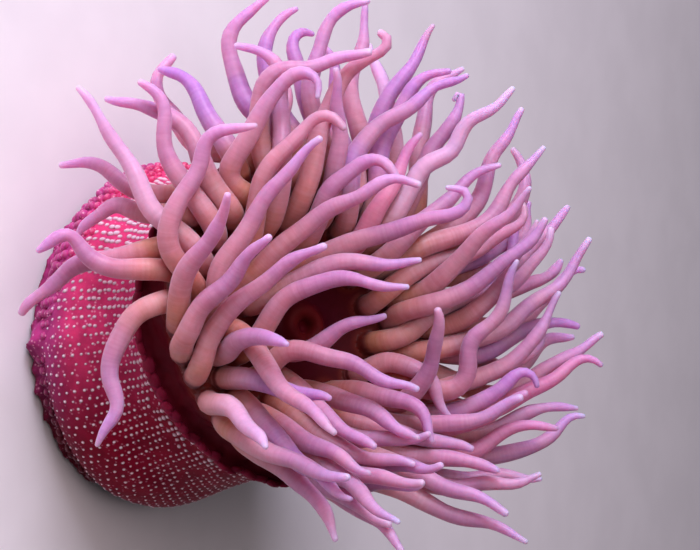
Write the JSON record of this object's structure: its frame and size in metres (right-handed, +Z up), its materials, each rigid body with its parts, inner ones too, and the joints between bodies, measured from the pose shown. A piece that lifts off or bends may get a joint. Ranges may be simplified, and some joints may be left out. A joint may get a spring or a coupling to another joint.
{
  "type": "sea anemone",
  "caption": "Life-size still model of a rose sea anemone with a bulbous, white-spotted column, a bare maroon collar and a crown of long blunt tentacles.",
  "frame": {"origin": "on the floor, at the pedal disc's flat underside, below the side-to-side middle of the crown", "axes": "+Z up from the floor, -Y towards the side that the crown leans to and faces, +X across"},
  "size_m": [0.1632, 0.1486, 0.1485],
  "materials": {
    "foot": "moist, matt flesh, finely wrinkled",
    "column": "moist crimson flesh with a soft sheen and white warts",
    "collar": "moist, smooth maroon flesh",
    "oral_disc": "moist, smooth flesh, thin enough to glow",
    "lips": "moist, folded flesh",
    "tentacle": "smooth, moist, half-clear flesh with a satin shine",
    "wart": "smooth pearly white"
  },
  "bodies": {
    "root": {"pedal_disc": "foot", "column_lower": "column", "column_middle": "column", "column_upper": "column", "collar": "collar", "oral_disc": "oral_disc", "mouth": "lips", "tentacles_outer_01": "tentacle", "tentacles_outer_02": "tentacle", "tentacles_outer_03": "tentacle", "tentacles_outer_04": "tentacle", "tentacles_outer_05": "tentacle", "tentacles_outer_06": "tentacle", "tentacles_outer_07": "tentacle", "tentacles_outer_08": "tentacle", "tentacles_outer_09": "tentacle", "tentacles_outer_10": "tentacle", "tentacles_outer_11": "tentacle", "tentacles_outer_12": "tentacle", "tentacles_outer_13": "tentacle", "tentacles_outer_14": "tentacle", "tentacles_outer_15": "tentacle", "tentacles_outer_16": "tentacle", "tentacles_outer_17": "tentacle", "tentacles_outer_18": "tentacle", "tentacles_second_01": "tentacle", "tentacles_second_02": "tentacle", "tentacles_second_03": "tentacle", "tentacles_second_04": "tentacle", "tentacles_second_05": "tentacle", "tentacles_second_06": "tentacle", "tentacles_second_07": "tentacle", "tentacles_second_08": "tentacle", "tentacles_second_09": "tentacle", "tentacles_second_10": "tentacle", "tentacles_second_11": "tentacle", "tentacles_second_12": "tentacle", "tentacles_second_13": "tentacle", "tentacles_second_14": "tentacle", "tentacles_second_15": "tentacle", "tentacles_third_01": "tentacle", "tentacles_third_02": "tentacle", "tentacles_third_03": "tentacle", "tentacles_third_04": "tentacle", "tentacles_third_05": "tentacle", "tentacles_third_06": "tentacle", "tentacles_third_07": "tentacle", "tentacles_third_08": "tentacle", "tentacles_third_09": "tentacle", "tentacles_third_10": "tentacle", "tentacles_inner_01": "tentacle", "tentacles_inner_02": "tentacle", "tentacles_inner_03": "tentacle", "tentacles_inner_04": "tentacle", "tentacles_inner_05": "tentacle", "tentacles_inner_06": "tentacle"}
  },
  "joints": []
}
